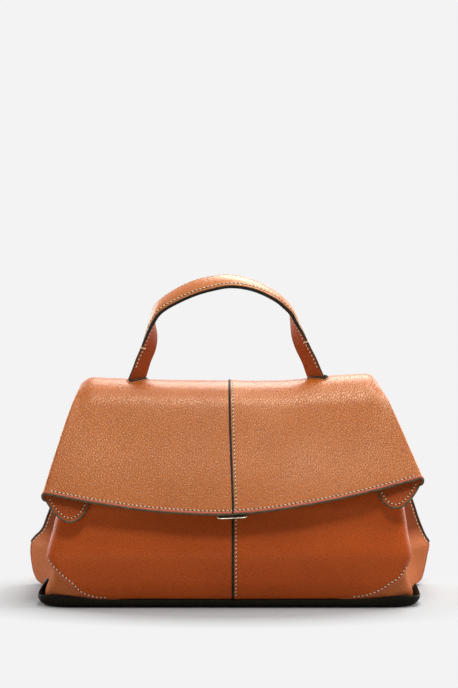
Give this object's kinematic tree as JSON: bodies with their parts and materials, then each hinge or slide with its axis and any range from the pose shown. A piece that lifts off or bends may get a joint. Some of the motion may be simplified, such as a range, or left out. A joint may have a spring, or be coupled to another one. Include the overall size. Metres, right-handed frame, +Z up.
{
  "type": "top handle bag",
  "caption": "Soft leather hand bag with a wide trapezoid front flap, folded side wings, inward gussets, dark flat base and an arched strap handle on the flap's crest.",
  "frame": {"origin": "under the middle of the base, on the surface that the bag stands on", "axes": "+X to the right seen from the front, +Y towards the back, +Z up"},
  "size_m": [0.361, 0.1435, 0.2832],
  "materials": {
    "front_leather": "pebbled, satin",
    "inner_leather": "smooth, matte",
    "base_leather": "smooth, satin",
    "lining_cloth": "woven, matte",
    "board": "compressed fibre board, matte",
    "padding": "felted padding, matte",
    "plate_metal": "pale brushed plate",
    "magnet_metal": "plated magnet cover",
    "edge_trim": "edge painted, satin"
  },
  "bodies": {
    "bag_body": {"base_panel": "base_leather", "base_board": "board", "lining_base": "lining_cloth", "front_panel_left": "front_leather", "front_panel_right": "front_leather", "back_panel": "front_leather", "gusset_left": "front_leather", "gusset_right": "front_leather", "lining_gusset_left": "lining_cloth", "lining_gusset_right": "lining_cloth", "lining_front": "lining_cloth", "lining_back": "lining_cloth", "facing_front": "inner_leather", "facing_back": "inner_leather", "inner_pocket": "lining_cloth", "catch_magnet": "magnet_metal"},
    "flap": {"flap_left": "front_leather", "flap_right": "front_leather", "flap_lining": "inner_leather", "closure_plate": "plate_metal", "flap_magnet": "magnet_metal", "handle_slot_left": "edge_trim", "handle_slot_right": "edge_trim", "handle_anchor_left": "board", "handle_anchor_right": "board"},
    "handle": {"handle_top": "front_leather", "handle_core": "padding", "handle_underside": "inner_leather"}
  },
  "joints": [
    {"name": "flap_open", "type": "hinge", "parent": "bag_body", "child": "flap", "pos_m": [0, 0.05343, 0.17864], "axis": [-1, 0, 0], "range_deg": [0, 140]},
    {"name": "handle_tilt", "type": "hinge", "parent": "flap", "child": "handle", "pos_m": [0, 0.008, 0.20565], "axis": [1, 0, 0], "range_deg": [-60, 60]}
  ]
}
